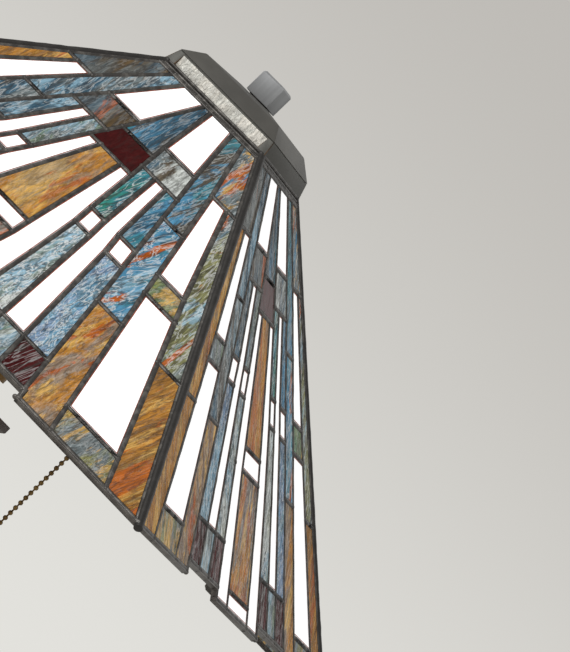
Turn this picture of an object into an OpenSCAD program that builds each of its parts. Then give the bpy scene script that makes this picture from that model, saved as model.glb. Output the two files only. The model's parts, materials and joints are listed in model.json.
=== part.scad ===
// Stained glass table lamp: a square, sloping leaded glass shade on a square metal column.
// Millimetres, +Z up. The origin is the centre of the face that the lamp stands on.
// Each shade panel is laid out flat: x across it and -y down its slope from the crown.

/* [Shade] */
// Height of the shade's crown line above the table
crown_z = 590; // [560:1:660]
// Half the shade's width along the crown line
crown_half = 44.5; // [38:0.5:52]
// Length of a panel down its slope
slope_len = 281; // [250:1:300]
// Angle between a panel and the vertical
face_slope = 42; // [38:0.5:46]
// How far the rim is raised in the notches
notch_rise = 7.5; // [5:0.5:12]

/* [Leading] */
// Width of a lead line between two pieces of glass
lead_w = 3.2; // [2.4:0.1:4]
// Thickness of the leading, face to face
lead_t = 3.4; // [3:0.1:4.4]
// Width of the leading along a panel's side and top
border_w = 1.4; // [1:0.1:2.2]
// Radius of the rod that joins two panels at a corner
corner_r = 2.2; // [1.8:0.1:2.8]
// Depth of the channel along the rim
rim_w = 2.4; // [2:0.1:5]
// Thickness of the channel along the rim
rim_t = 4; // [3.6:0.1:5.4]

/* [Glass] */
// Thickness of the glass
glass_t = 2.6; // [2:0.1:3.2]
// Gap between a piece of glass and its leading
glass_gap = 0.1; // [0.05:0.05:0.2]

/* [Crown] */
// Half width of the crown band at its foot
band_foot_half = 46.5; // [44:0.5:50]
// Half width of the crown band at its top
band_top_half = 43.8; // [41:0.1:46]
// Height of the crown band
band_h = 10.5; // [9:0.5:16]
// Thickness of the crown band
band_wall = 3; // [2.4:0.1:4]
// Height of the glass strip in the band
strip_h = 8.2; // [6:0.1:8.6]
// Height of the cap's steep bevel
cap_bevel_h = 9.8; // [6:0.1:12]
// Half width of the cap above its bevel
cap_shoulder_half = 34; // [28:0.5:38]
// Height of the cap's shallow roof
cap_roof_h = 2.6; // [2:0.1:6]
// Half width of the cap's flat top
cap_top_half = 13; // [11:0.5:18]
// Thickness of the cap's metal
cap_wall = 1.6; // [1.2:0.1:2.2]

/* [Finial] */
// Side of the finial's square block
finial_w = 18.6; // [16:0.1:22]
// Height of the finial's block
finial_h = 16.4; // [14:0.1:20]
// Radius of the check ring under the finial
washer_r = 8.6; // [7:0.1:9]
// Thickness of the check ring
washer_h = 0.8; // [0.6:0.1:1.2]

/* [Pipe and stem] */
// Radius of the threaded pipe through the lamp
pipe_r = 5.1; // [4.6:0.1:5.4]
// Radial clearance round the pipe
pipe_gap = 0.3; // [0.2:0.05:0.5]
// Radius of the tube over the pipe above the column
stem_r = 8; // [7:0.5:10]

/* [Base] */
// Side of the plinth
plinth_w = 190; // [160:1:220]
// Height of the plinth
plinth_h = 18; // [15:0.5:24]
// Side of the step on the plinth
step_w = 146; // [120:1:160]
// Height of the step
step_h = 12; // [8:0.5:18]
// Thickness of the felt under the plinth
felt_t = 2; // [1.5:0.5:3]
// Side of the ballast under the plinth
ballast_w = 150; // [110:1:156]
// Thickness of the ballast
ballast_t = 12; // [9:0.1:12.8]

/* [Column] */
// Height of the column, from the step to its cap
column_h = 324; // [280:1:326]
// Side of the column's foot moulding
moulding_w = 98; // [88:1:110]
// Height of the column's foot moulding
moulding_h = 12; // [8:0.5:16]
// Side of the column at its foot
column_foot_w = 78; // [70:1:84]
// Side of the column at its top
column_top_w = 48; // [42:1:56]
// Width of the frame round each sunk panel
frame_w = 9; // [7:0.5:10]
// Depth of each sunk panel
sink = 2.6; // [2:0.1:3.2]
// Thickness of the column's casting at its frames
column_wall = 5.4; // [5:0.1:9]
// Side of the cap on the column
column_cap_w = 58.6; // [54:0.1:70]
// Height of the cap on the column
column_cap_h = 8; // [6:0.5:12]

/* [Lights] */
// Distance of each lamp socket from the stem
socket_x = 57; // [52:0.5:62]
// Height of the arms above the column's cap
arm_rise = 26; // [22:0.5:30]
// Radius of a socket's shell
socket_r = 16.5; // [16:0.1:18]
// Length of a socket's shell
socket_len = 46; // [42:0.5:50]
// Radius of a bulb's screw base
bulb_base_r = 13; // [12.8:0.05:13.2]
// Radius of a bulb's globe
globe_r = 29; // [24:0.5:30]
// Length of a bulb
bulb_len = 108; // [98:1:112]
// Radius of a pull chain's bead
bead_r = 1.6; // [1.2:0.1:1.8]
// Distance between two beads
bead_pitch = 4.35; // [3.8:0.05:4.8]
// Number of beads on a pull chain
bead_count = 28; // [16:1:32]

/* [Hidden] */
$fn = 48;
eps = 0.01;
seat_gap = 0.1;

// Rows of the leading: share of the slope at the middle of each lead line.
row_top = 0.02;
row_a = 0.193;      // foot of the corner piece and of the white kite
row_v = 0.236;      // foot of the blue wedge
row_b = 0.277;      // heads of the inner strips
row_c = 0.32;       // foot of the red piece
row_d = 0.342;      // break in the outer blue strip
row_e = 0.469;      // heads of the small white squares
row_f = 0.532;      // feet of the small white squares
row_g = 0.627;      // foot of the upper centre piece
row_h = 0.645;      // heads of the long amber strips
row_i = 0.681;      // foot of the centre's small white piece
row_j = 0.863;      // heads of the red squares
row_k = 0.912;      // foot of the long white strips
row_l = 0.951;      // foot of the lower centre piece

// Lead lines down the panel: [share of the slope, share of the half width there].
line_a = [[0, 0.045], [row_a, 0.143], [row_b, 0.172], [row_c, 0.185], [row_e, 0.211],
          [row_f, 0.222], [row_i, 0.224], [1, 0.22]];
line_b = [[row_c, 0.088], [row_g, 0.115], [row_i, 0.119], [1, 0.108]];
line_c = [[row_b, 0.296], [row_e, 0.305], [row_f, 0.313], [1, 0.331]];
line_d = [[row_b, 0.4], [row_e, 0.402], [row_f, 0.414], [1, 0.426]];
line_e = [[0, 0.47], [row_a, 0.49], [row_d, 0.509], [row_e, 0.516], [row_h, 0.526], [1, 0.53]];
line_f = [[0, 0.685], [row_a, 0.69], [row_d, 0.677], [row_h, 0.661], [1, 0.656]];
line_g = [[row_a, 0.861], [row_e, 0.848], [row_h, 0.858], [1, 0.87]];

// The low sections of the rim lie inside line_a and outside line_e, and the notches' ends
// follow those lines.
notch_in = 0.229;
notch_out = 0.525;

rim_r = slope_len;
glass_foot = slope_len - rim_w;
edge_gap = corner_r + seat_gap;
corner_run = atan(sqrt(2) * tan(face_slope));
ridge_cos = sin(atan(sin(face_slope)));
side_skew = sqrt(1 + pow(sin(face_slope), 2));

// Heights of the stack of pieces above the crown line.
band_z = crown_z + 1;
band_top_z = band_z + band_h;
cap_z = band_top_z + seat_gap;
cap_top_z = cap_z + cap_bevel_h + cap_roof_h;
spider_t = 1.6;
spider_z = band_top_z - spider_t - 1;
rest_t = 3;
finial_z = cap_top_z + seat_gap;
block_z = finial_z + washer_h + seat_gap;
finial_bore_h = 11;
pipe_top_z = block_z + finial_bore_h - 1;

// Heights of the pieces of the base.
plinth_z = felt_t;
step_z = plinth_z + plinth_h;
column_z = step_z + step_h;
column_cap_z = column_z + column_h;
stem_z = column_cap_z + column_cap_h;
arm_z = stem_z + arm_rise;
hub_r = 15;
hub_h = 20;
hub_z = arm_z - hub_h / 2;
arm_r = 5;
cup_h = 8;
socket_z = arm_z + cup_h;
socket_cap_h = 12;
socket_top_z = socket_z + socket_cap_h + socket_len;
bulb_base_h = 25;
bulb_gap = 0.3;
bulb_z = socket_top_z - bulb_base_h;
chain_x = socket_x + socket_r + 7.3;
guide_z = socket_z + 16;
guide_h = 10;
guide_bore_h = guide_h - 2;
chain_top_z = guide_z + guide_bore_h - bead_r - 0.3;
pull_h = 16;
pull_r = 4;

function half_at(r) = crown_half + r * sin(face_slope);
function row_at(share) = share * slope_len;
function knots(line) = [for (k = line) [row_at(k[0]), k[1] * half_at(row_at(k[0]))]];
function lead_x(line, r) = lookup(r, knots(line));
// The side of a panel's leading, in from the corner's ridge.
function side_x(r, inset) = half_at(r) - inset * side_skew;

// Points down a lead line between two slope distances, moved across by shift.
function down_line(line, r0, r1, shift, sign = 1) =
    let (turns = [for (k = knots(line)) if (k[0] > r0 + 1 && k[0] < r1 - 1) k[0]])
    [for (r = concat([r0], turns, [r1])) [sign * (lead_x(line, r) + shift), -r]];
function back_up(points) = [for (i = [len(points) - 1:-1:0]) points[i]];

// A piece between two lead lines, from r0 to r1, with trim kept off every side.
function strip(inner, outer, r0, r1, trim) =
    concat(down_line(inner, r0, r1, trim), back_up(down_line(outer, r0, r1, -trim)));
// A piece across the panel's centre, out to one lead line each way.
function centre(outer, r0, r1, trim) =
    concat(down_line(outer, r0, r1, -trim, -1), back_up(down_line(outer, r0, r1, -trim)));
// A piece between a lead line and the panel's side.
function flank(inner, r0, r1, trim, side_trim) =
    concat(down_line(inner, r0, r1, trim),
           [[side_x(r1, side_trim), -r1], [side_x(r0, side_trim), -r0]]);

// Every piece of glass: [colour, outline, whether it has a mirror image]. half is what each
// outline keeps off its lead lines. The lowest pieces run on to the rim and are cut there.
function glass_pieces(half, top, side) = [
    // Drawn once, across the centre
    ["blue", centre(line_a, top, row_at(row_v) - half, half), false],
    ["red", centre(line_a, row_at(row_v) + half, row_at(row_c) - half, half), false],
    ["amber", centre(line_b, row_at(row_c) + half, row_at(row_g) - half, half), false],
    ["white", centre(line_b, row_at(row_g) + half, row_at(row_i) - half, half), false],
    ["amber", centre(line_b, row_at(row_i) + half, row_at(row_l) - half, half), false],
    ["white", centre(line_b, row_at(row_l) + half, rim_r, half), false],
    // Drawn twice, once on each side of the centre
    ["white", strip(line_b, line_a, row_at(row_c) + half, rim_r, half), true],
    ["white", strip(line_a, line_e, top, row_at(row_a) - half, half), true],
    ["amber", strip(line_a, line_e, row_at(row_a) + half, row_at(row_b) - half, half), true],
    ["green", strip(line_a, line_c, row_at(row_b) + half, row_at(row_e) - half, half), true],
    ["white", strip(line_a, line_c, row_at(row_e) + half, row_at(row_f) - half, half), true],
    ["blue", strip(line_a, line_c, row_at(row_f) + half, row_at(row_j) - half, half), true],
    ["red", strip(line_a, line_c, row_at(row_j) + half, rim_r, half), true],
    ["white", strip(line_c, line_d, row_at(row_b) + half, row_at(row_j) - half, half), true],
    ["green", strip(line_c, line_d, row_at(row_j) + half, rim_r, half), true],
    ["blue", strip(line_d, line_e, row_at(row_b) + half, row_at(row_e) - half, half), true],
    ["white", strip(line_d, line_e, row_at(row_e) + half, row_at(row_f) - half, half), true],
    ["blue", strip(line_d, line_e, row_at(row_f) + half, row_at(row_j) - half, half), true],
    ["red", strip(line_d, line_e, row_at(row_j) + half, rim_r, half), true],
    ["blue", strip(line_e, line_f, top, row_at(row_d) - half, half), true],
    ["blue", strip(line_e, line_f, row_at(row_d) + half, row_at(row_h) - half, half), true],
    ["amber", strip(line_e, line_f, row_at(row_h) + half, rim_r, half), true],
    ["amber", flank(line_f, top, row_at(row_a) - half, half, side), true],
    ["white", strip(line_f, line_g, row_at(row_a) + half, row_at(row_e) - half, half), true],
    ["green", strip(line_f, line_g, row_at(row_e) + half, row_at(row_f) - half, half), true],
    ["white", strip(line_f, line_g, row_at(row_f) + half, row_at(row_k) - half, half), true],
    ["amber", strip(line_f, line_g, row_at(row_k) + half, rim_r, half), true],
    ["green", flank(line_g, row_at(row_a) + half, row_at(row_h) - half, half, side), true],
    ["amber", flank(line_g, row_at(row_h) + half, rim_r, half, side), true]
];

// ---- Shade panels ----

// Stands a flat layout up as the panel that faces turn degrees round from the front.
module on_face(turn) {
    rotate([0, 0, turn])
        translate([0, -crown_half, crown_z])
            rotate([90 - face_slope, 0, 0])
                children();
}

// A flat outline given thickness t, centred on the panel's plane.
module sheet(points, t) {
    translate([0, 0, -t / 2])
        linear_extrude(t)
            polygon(points);
}

// The outlines as solids, with their mirror images where they have one.
module panes(pieces, t) {
    for (piece = pieces) {
        sheet(piece[1], t);
        if (piece[2])
            mirror([1, 0, 0])
                sheet(piece[1], t);
    }
}

// The stepped foot of a panel, from its left side to its right: low at the middle and the
// corners, high between. step keeps the low parts in from the notches' ends.
function foot_half(reach, step) =
    [[notch_in * half_at(reach) - step, -reach],
     [notch_in * half_at(reach - notch_rise) - step, notch_rise - reach],
     [notch_out * half_at(reach - notch_rise) + step, notch_rise - reach],
     [notch_out * half_at(reach) + step, -reach],
     [side_x(reach, edge_gap), -reach]];
function foot_line(reach, step) =
    concat([for (p = back_up(foot_half(reach, step))) [-p[0], p[1]]], foot_half(reach, step));
// A whole panel down to its stepped foot.
function panel_outline(reach, step) =
    concat([[-side_x(top_r, edge_gap), -top_r]], foot_line(reach, step),
           [[side_x(top_r, edge_gap), -top_r]]);
top_r = 1;

// The panes, cut along the stepped foot at trim from the leading's edge.
module set_panes(pieces, trim, t) {
    intersection() {
        panes(pieces, t);
        sheet(panel_outline(glass_foot - trim, rim_w + trim), t);
    }
}

module came(turn) {
    color([0.20, 0.20, 0.19])
        on_face(turn)
            difference() {
                sheet(panel_outline(glass_foot - seat_gap, rim_w + seat_gap), lead_t);
                set_panes(glass_pieces(lead_w / 2, row_at(row_top), edge_gap + border_w),
                          border_w, lead_t + 2);
            }
}

module rim(turn) {
    color([0.36, 0.35, 0.34])
        on_face(turn)
            sheet(concat(foot_line(rim_r, 0), back_up(foot_line(glass_foot, rim_w))), rim_t);
}

module glass(turn, name) {
    on_face(turn)
        set_panes([for (piece = glass_pieces(lead_w / 2 + glass_gap, row_at(row_top) + glass_gap,
                                             edge_gap + border_w + glass_gap))
                   if (piece[0] == name) piece], border_w + glass_gap, glass_t);
}
module white_glass(turn) { color([0.95, 0.95, 0.93]) glass(turn, "white"); }
module amber_glass(turn) { color([0.72, 0.46, 0.20]) glass(turn, "amber"); }
module blue_glass(turn) { color([0.42, 0.60, 0.72]) glass(turn, "blue"); }
module green_glass(turn) { color([0.50, 0.55, 0.36]) glass(turn, "green"); }
module red_glass(turn) { color([0.36, 0.10, 0.10]) glass(turn, "red"); }

// The rod down one corner of the shade, turned round from the front right.
module corner_came(turn) {
    color([0.16, 0.16, 0.15])
        rotate([0, 0, turn - 45])
            translate([crown_half * sqrt(2), 0, crown_z])
                rotate([0, 180 - corner_run, 0])
                    translate([0, 0, top_r])
                        cylinder(h = slope_len / cos(atan(sin(face_slope))) - top_r, r = corner_r);
}

// ---- Crown ----

// A square block that tapers evenly from half width a at its foot to b at its top.
module taper(a, b, h) {
    intersection() {
        rotate([90, 0, 0])
            translate([0, 0, -2 * max(a, b)])
                linear_extrude(4 * max(a, b))
                    polygon([[-a, 0], [a, 0], [b, h], [-b, h]]);
        rotate([90, 0, 90])
            translate([0, 0, -2 * max(a, b)])
                linear_extrude(4 * max(a, b))
                    polygon([[-a, 0], [a, 0], [b, h], [-b, h]]);
    }
}

strip_half = band_top_half - band_wall - 2;
strip_z = band_z + (band_h - strip_h) / 2;

module crown_band() {
    color([0.24, 0.23, 0.21])
        difference() {
            translate([0, 0, band_z])
                taper(band_foot_half, band_top_half, band_h);
            translate([0, 0, band_z - 1])
                linear_extrude(band_h + 2)
                    square(2 * (band_top_half - band_wall), center = true);
            translate([-strip_half, -2 * band_foot_half, strip_z])
                cube([2 * strip_half, 4 * band_foot_half, strip_h]);
        }
}

module crown_pane(side) {
    pane_y = band_top_half - glass_t / 2;
    color([0.90, 0.87, 0.78])
        translate([-strip_half + seat_gap, side * pane_y - glass_t / 2, strip_z + seat_gap])
            cube([2 * (strip_half - seat_gap), glass_t, strip_h - 2 * seat_gap]);
}
module crown_glass_front() { crown_pane(-1); }
module crown_glass_back() { crown_pane(1); }

module crown_cap() {
    shoulder_z = cap_z + cap_bevel_h;
    color([0.30, 0.29, 0.26])
        difference() {
            union() {
                translate([0, 0, cap_z])
                    taper(band_top_half + 0.4, cap_shoulder_half, cap_bevel_h);
                translate([0, 0, shoulder_z])
                    taper(cap_shoulder_half, cap_top_half, cap_roof_h);
            }
            translate([0, 0, cap_z - eps])
                taper(band_top_half - 2 * cap_wall, cap_shoulder_half - 2 * cap_wall,
                      cap_bevel_h - cap_wall);
            translate([0, 0, cap_z])
                cylinder(h = cap_bevel_h + cap_roof_h + 1, r = pipe_r + pipe_gap);
        }
}

module crown_spider() {
    color([0.45, 0.44, 0.42])
        difference() {
            union() {
                for (turn = [0, 90])
                    rotate([0, 0, turn])
                        translate([seat_gap - band_top_half + band_wall, -6, spider_z])
                            cube([2 * (band_top_half - band_wall - seat_gap), 12, spider_t]);
                translate([0, 0, spider_z])
                    cylinder(h = spider_t, r = 15);
            }
            translate([0, 0, spider_z - 1])
                cylinder(h = spider_t + 2, r = pipe_r + pipe_gap);
        }
}

module finial_washer() {
    color([0.30, 0.29, 0.27])
        difference() {
            translate([0, 0, finial_z])
                cylinder(h = washer_h, r = washer_r);
            pipe_hole(finial_z, washer_h);
        }
}

module finial() {
    bevel = 1.2;
    color([0.52, 0.53, 0.54])
        difference() {
            union() {
                translate([0, 0, block_z])
                    taper(finial_w / 2, finial_w / 2, finial_h - bevel);
                translate([0, 0, block_z + finial_h - bevel])
                    taper(finial_w / 2, finial_w / 2 - bevel, bevel);
            }
            translate([0, 0, block_z - 1])
                cylinder(h = finial_bore_h + 1, r = pipe_r + pipe_gap);
        }
}

// ---- Base and column ----

nut_r = 9;
nut_h = 4.5;
nut_well_r = 14;
web_z = plinth_z + ballast_t + 0.3;

module pipe_hole(z, h) {
    translate([0, 0, z - 1])
        cylinder(h = h + 2, r = pipe_r + pipe_gap);
}

module felt_pad() {
    color([0.12, 0.20, 0.14])
        difference() {
            translate([0, 0, felt_t / 2])
                cube([plinth_w - 6, plinth_w - 6, felt_t], center = true);
            translate([0, 0, -1])
                cylinder(h = felt_t + 2, r = nut_well_r);
        }
}

cord_r = 3.2;
bushing_r = 4.8;
flange_r = bushing_r + 1.4;
flange_t = 3;
plinth_chamfer = 4;
bushing_z = plinth_z + (plinth_h - plinth_chamfer) / 2;
plinth_wall = 7;
cavity_w = plinth_w - 2 * plinth_wall;
bushing_len = plinth_wall + 3;

module plinth() {
    color([0.22, 0.17, 0.14])
        difference() {
            union() {
                translate([0, 0, plinth_z])
                    taper(plinth_w / 2, plinth_w / 2, plinth_h - plinth_chamfer);
                translate([0, 0, plinth_z + plinth_h - plinth_chamfer])
                    taper(plinth_w / 2, plinth_w / 2 - plinth_chamfer, plinth_chamfer);
            }
            translate([0, 0, (plinth_z + web_z) / 2 - 1])
                cube([cavity_w, cavity_w, web_z - plinth_z + 2], center = true);
            pipe_hole(plinth_z, plinth_h);
            translate([0, plinth_w / 2 + 1, bushing_z])
                rotate([90, 0, 0])
                    cylinder(h = plinth_wall + 2, r = bushing_r + seat_gap);
        }
}

module plinth_step() {
    color([0.24, 0.19, 0.15])
        difference() {
            union() {
                translate([0, 0, step_z])
                    taper(step_w / 2, step_w / 2, step_h - 3);
                translate([0, 0, step_z + step_h - 3])
                    taper(step_w / 2, step_w / 2 - 3, 3);
            }
            translate([0, 0, step_z - eps])
                taper(step_w / 2 - 7, step_w / 2 - 9, step_h - 5);
            pipe_hole(step_z, step_h);
        }
}

// An iron weight with a well for the nut and a groove for the cord.
module ballast() {
    groove_w = 2 * cord_r + 2;
    color([0.30, 0.30, 0.30])
        difference() {
            translate([0, 0, plinth_z + ballast_t / 2])
                cube([ballast_w, ballast_w, ballast_t], center = true);
            translate([0, 0, plinth_z - 1])
                cylinder(h = ballast_t + 2, r = nut_well_r);
            translate([-groove_w / 2, 0, plinth_z - 1])
                cube([groove_w, ballast_w, ballast_t + 2]);
        }
}

shaft_z = column_z + moulding_h;
shaft_h = column_h - moulding_h - 6;
shaft_lean = atan((column_foot_w - column_top_w) / 2 / shaft_h);
column_head_t = 10;
panel_foot = frame_w + 4;
panel_head = shaft_h / cos(shaft_lean) - frame_w - 4;

// Outline of a sunk panel on a column face, drawn up the face, kept in by trim.
function sunk_outline(trim) =
    let (w0 = column_foot_w / 2 - frame_w - trim, w1 = column_top_w / 2 - frame_w - trim)
    [[-w0, panel_foot + trim], [w0, panel_foot + trim],
     [w1, panel_head - trim], [-w1, panel_head - trim]];

module on_shaft(turn) {
    rotate([0, 0, turn])
        translate([0, -column_foot_w / 2, shaft_z])
            rotate([90 - shaft_lean, 0, 0])
                children();
}

module column() {
    color([0.22, 0.17, 0.14])
        difference() {
            union() {
                translate([0, 0, column_z])
                    taper(moulding_w / 2, moulding_w / 2, moulding_h - 5);
                translate([0, 0, column_z + moulding_h - 5])
                    taper(moulding_w / 2, column_foot_w / 2 + 2, 5);
                translate([0, 0, shaft_z])
                    taper(column_foot_w / 2, column_top_w / 2, shaft_h);
                translate([0, 0, shaft_z + shaft_h])
                    taper(column_top_w / 2 + 2, column_top_w / 2 + 2, column_h - moulding_h - shaft_h);
            }
            for (turn = [0:90:270])
                on_shaft(turn)
                    translate([0, 0, -sink])
                        linear_extrude(sink + 2)
                            polygon(sunk_outline(0));
            translate([0, 0, column_z - eps])
                taper(column_foot_w / 2 - column_wall, column_top_w / 2 - column_wall,
                      column_h - column_head_t);
            pipe_hole(column_z, column_h);
        }
}

module column_panels() {
    inlay_t = 1.2;
    color([0.40, 0.31, 0.20])
        for (turn = [0:90:270])
            on_shaft(turn)
                translate([0, 0, seat_gap - sink])
                    linear_extrude(inlay_t)
                        polygon(sunk_outline(1.2));
}

module column_cap() {
    lip_h = column_cap_h * 0.6;
    color([0.24, 0.19, 0.15])
        difference() {
            union() {
                translate([0, 0, column_cap_z])
                    taper(column_top_w / 2 + 2, column_cap_w / 2, column_cap_h - lip_h);
                translate([0, 0, column_cap_z + column_cap_h - lip_h])
                    taper(column_cap_w / 2, column_cap_w / 2, lip_h);
            }
            pipe_hole(column_cap_z, column_cap_h);
        }
}

module stem_tube() {
    color([0.34, 0.26, 0.18])
        difference() {
            translate([0, 0, stem_z])
                cylinder(h = hub_z - stem_z, r = stem_r);
            pipe_hole(stem_z, hub_z - stem_z);
        }
}

module lamp_pipe() {
    pipe_foot_z = plinth_z + 2;
    color([0.55, 0.46, 0.30])
        difference() {
            translate([0, 0, pipe_foot_z])
                cylinder(h = pipe_top_z - pipe_foot_z, r = pipe_r);
            translate([0, 0, pipe_foot_z - 1])
                cylinder(h = pipe_top_z - pipe_foot_z + 2, r = pipe_r - 1.4);
        }
}

// Hexagon nuts that hold the base, the light cluster and the shade's rest on the pipe.
module lock_nuts() {
    color([0.62, 0.54, 0.34])
        for (z = [web_z - nut_h - seat_gap, hub_z + hub_h + seat_gap,
                  spider_z - seat_gap - rest_t - seat_gap - nut_h])
            translate([0, 0, z])
                difference() {
                    cylinder(h = nut_h, r = nut_r, $fn = 6);
                    translate([0, 0, -1])
                        cylinder(h = nut_h + 2, r = pipe_r + 0.05);
                }
}

module cord_bushing() {
    color([0.10, 0.10, 0.10])
        translate([0, plinth_w / 2 + flange_t, bushing_z])
            rotate([90, 0, 0])
                difference() {
                    union() {
                        cylinder(h = flange_t - seat_gap, r = flange_r);
                        cylinder(h = flange_t + bushing_len, r = bushing_r);
                    }
                    translate([0, 0, -1])
                        cylinder(h = flange_t + bushing_len + 2, r = cord_r);
                }
}

// ---- Lights ----

module cluster() {
    color([0.36, 0.27, 0.16])
        difference() {
            union() {
                translate([0, 0, hub_z])
                    cylinder(h = hub_h, r = hub_r);
                translate([-socket_x, 0, arm_z])
                    rotate([0, 90, 0])
                        cylinder(h = 2 * socket_x, r = arm_r);
                for (side = [-1, 1]) {
                    translate([side * socket_x, 0, arm_z])
                        sphere(r = arm_r + 1);
                    translate([side * socket_x, 0, arm_z])
                        cylinder(h = cup_h - seat_gap, r1 = arm_r, r2 = socket_r - 4);
                }
            }
            pipe_hole(hub_z, hub_h);
        }
}

// A pull-chain socket: cap, shell open at the top for the bulb, and the chain's guide.
module socket_body(side) {
    shell_z = socket_z + socket_cap_h;
    neck_len = chain_x - socket_x - socket_r + 2;
    color([0.60, 0.49, 0.26])
        difference() {
            union() {
                translate([side * socket_x, 0, socket_z])
                    cylinder(h = socket_cap_h, r1 = socket_r - 4, r2 = socket_r + 0.8);
                translate([side * socket_x, 0, shell_z])
                    cylinder(h = socket_len, r = socket_r);
                translate([side * (chain_x - neck_len / 2), 0, guide_z + guide_h / 2 + 1])
                    rotate([0, 90, 0])
                        translate([0, 0, -neck_len / 2])
                            cylinder(h = neck_len, r = 2.8);
                translate([side * chain_x, 0, guide_z])
                    cylinder(h = guide_h, r1 = bead_r + 2, r2 = bead_r + 1.3);
            }
            translate([side * socket_x, 0, bulb_z - bulb_gap])
                cylinder(h = bulb_base_h + 1, r = bulb_base_r + bulb_gap);
            translate([side * chain_x, 0, guide_z - 1])
                cylinder(h = guide_bore_h + 1, r = bead_r + 0.3);
        }
}
module socket_left() { socket_body(-1); }
module socket_right() { socket_body(1); }

module shade_rest() {
    color([0.55, 0.46, 0.30])
        difference() {
            translate([0, 0, spider_z - seat_gap - rest_t])
                cylinder(h = rest_t, r = 13);
            pipe_hole(spider_z - seat_gap - rest_t, rest_t);
        }
}

module bulb_base(side) {
    tip_h = 2.4;
    color([0.70, 0.70, 0.68])
        translate([side * socket_x, 0, bulb_z]) {
            translate([0, 0, tip_h])
                cylinder(h = bulb_base_h - tip_h, r = bulb_base_r);
            cylinder(h = tip_h, r1 = 5, r2 = bulb_base_r - 3);
        }
}
module bulb_base_left() { bulb_base(-1); }
module bulb_base_right() { bulb_base(1); }

// A pear-shaped bulb: a neck that widens into a round globe.
module bulb_glass(side) {
    neck_r = bulb_base_r - 0.4;
    globe_z = bulb_len - bulb_base_h - globe_r;
    touch = 35;
    arc_points = [for (a = [-touch:5:85]) [globe_r * cos(a), globe_z + globe_r * sin(a)]];
    color([0.97, 0.96, 0.92])
        translate([side * socket_x, 0, bulb_z + bulb_base_h + eps])
            rotate_extrude()
                polygon(concat([[0, 0], [neck_r, 0], [neck_r, 6], [neck_r + 2.2, 14]], arc_points,
                               [[0, globe_z + globe_r]]));
}
module bulb_glass_left() { bulb_glass(-1); }
module bulb_glass_right() { bulb_glass(1); }

// A beaded chain that hangs from its guide, with the first bead just inside and a bell below.
chain_foot_z = chain_top_z - (bead_count - 1) * bead_pitch;
module pull_chain(side) {
    link_r = 0.55;
    bell_z = chain_foot_z - bead_r + 0.3 - pull_h;
    color([0.47, 0.36, 0.20])
        translate([side * chain_x, 0, 0]) {
            for (i = [0:bead_count - 1])
                translate([0, 0, chain_top_z - i * bead_pitch])
                    sphere(r = bead_r, $fn = 24);
            translate([0, 0, chain_foot_z])
                cylinder(h = chain_top_z - chain_foot_z, r = link_r, $fn = 16);
            translate([0, 0, bell_z])
                rotate_extrude()
                    polygon([[0, 0], [pull_r, 0], [pull_r, 1.6], [pull_r - 1, 4],
                             [1.8, pull_h - 4], [1.5, pull_h], [0, pull_h]]);
        }
}
module pull_chain_left() { pull_chain(-1); }
module pull_chain_right() { pull_chain(1); }

came(0);  // came_front
came(90);  // came_right
came(180);  // came_back
came(270);  // came_left
rim(0);  // rim_front
rim(90);  // rim_right
rim(180);  // rim_back
rim(270);  // rim_left
corner_came(0);  // corner_came_1
corner_came(90);  // corner_came_2
corner_came(180);  // corner_came_3
corner_came(270);  // corner_came_4
white_glass(0);  // white_front
white_glass(90);  // white_right
white_glass(180);  // white_back
white_glass(270);  // white_left
amber_glass(0);  // amber_front
amber_glass(90);  // amber_right
amber_glass(180);  // amber_back
amber_glass(270);  // amber_left
blue_glass(0);  // blue_front
blue_glass(90);  // blue_right
blue_glass(180);  // blue_back
blue_glass(270);  // blue_left
green_glass(0);  // green_front
green_glass(90);  // green_right
green_glass(180);  // green_back
green_glass(270);  // green_left
red_glass(0);  // red_front
red_glass(90);  // red_right
red_glass(180);  // red_back
red_glass(270);  // red_left
crown_band();
crown_glass_front();
crown_glass_back();
crown_cap();
crown_spider();
finial_washer();
finial();
felt_pad();
plinth();
plinth_step();
ballast();
column();
column_panels();
column_cap();
stem_tube();
lamp_pipe();
lock_nuts();
cord_bushing();
cluster();
socket_left();
socket_right();
shade_rest();
bulb_base_left();
bulb_base_right();
bulb_glass_left();
bulb_glass_right();
pull_chain_left();
pull_chain_right();
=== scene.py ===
"""Stained glass table lamp: looks and stage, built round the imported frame."""

import json
import math
import random

import bmesh
import bpy
from bpy.props import FloatProperty, FloatVectorProperty, IntProperty, PointerProperty
from mathutils import Matrix, Vector, noise

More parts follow.
